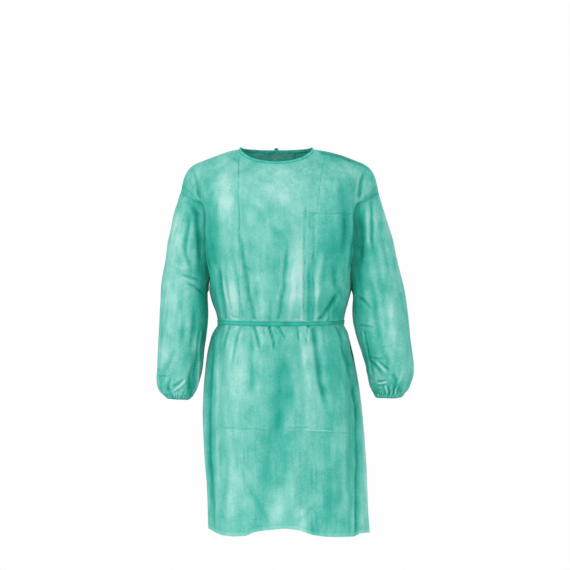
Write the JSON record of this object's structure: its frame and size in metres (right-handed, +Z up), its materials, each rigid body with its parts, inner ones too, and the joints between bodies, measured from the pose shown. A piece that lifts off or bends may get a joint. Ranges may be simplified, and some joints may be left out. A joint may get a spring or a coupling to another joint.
{
  "type": "disposable gown",
  "caption": "Worn, hollow, knee-length nonwoven gown with long sleeves, gathered cuffs, a bound round neck and a tied waist belt.",
  "frame": {"origin": "on the shoulder line where the gown hangs on the wearer, level with the neck end of the shoulder seams and midway between the armholes", "axes": "+Z up, -Y the front of the gown, +X the wearer's left"},
  "size_m": [0.6825, 0.3101, 1.039],
  "materials": {
    "nonwoven": "thin translucent mint green spunbond, matt with a faint sheen",
    "nonwoven_folded": "the same cloth in several layers, a deeper green"
  },
  "bodies": {
    "root": {"front_panel": "nonwoven", "back_panel_right": "nonwoven", "back_panel_left": "nonwoven", "sleeve_right": "nonwoven", "sleeve_left": "nonwoven", "cuff_right": "nonwoven_folded", "cuff_left": "nonwoven_folded", "neck_binding": "nonwoven_folded", "neck_knot": "nonwoven_folded", "neck_tie_right": "nonwoven_folded", "neck_tie_left": "nonwoven_folded", "belt": "nonwoven_folded", "belt_knot": "nonwoven_folded", "belt_tie_right": "nonwoven_folded", "belt_tie_left": "nonwoven_folded"}
  },
  "joints": []
}
